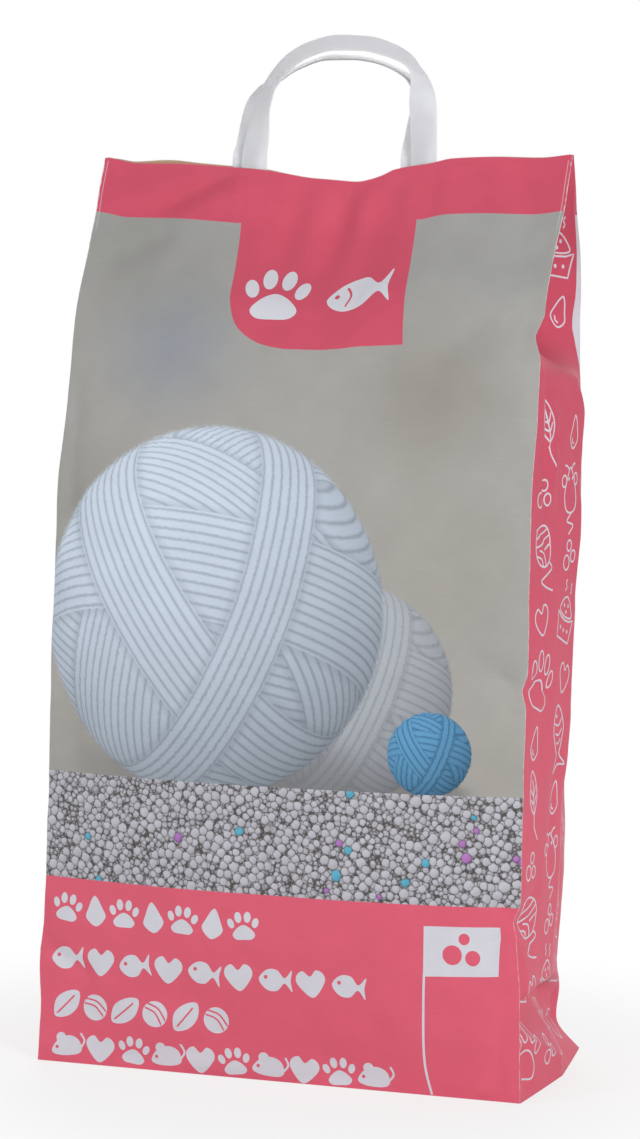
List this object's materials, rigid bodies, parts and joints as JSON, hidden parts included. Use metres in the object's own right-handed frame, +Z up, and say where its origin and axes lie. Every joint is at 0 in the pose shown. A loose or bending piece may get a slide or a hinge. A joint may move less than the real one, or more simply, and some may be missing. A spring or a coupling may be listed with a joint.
{
  "type": "cat litter bag",
  "caption": "Filled paper sack of cat litter with side gussets, block bottom, pinched top and flat paper handles.",
  "frame": {"origin": "middle of the block bottom, on the surface the bag stands on", "axes": "+Z up to the handles, +X to the right of the printed front, which faces -Y"},
  "size_m": [0.236, 0.1262, 0.459],
  "materials": {
    "printed_paper": "printed satin paper, pink with a grey-beige field and a band of granules",
    "handle_paper": "matte white paper",
    "kraft_paper": "matte brown kraft paper"
  },
  "bodies": {
    "root": {"bag_body": "printed_paper", "handle_front": "handle_paper", "handle_back": "handle_paper", "handle_patch_front": "kraft_paper", "handle_patch_back": "kraft_paper"}
  },
  "joints": []
}
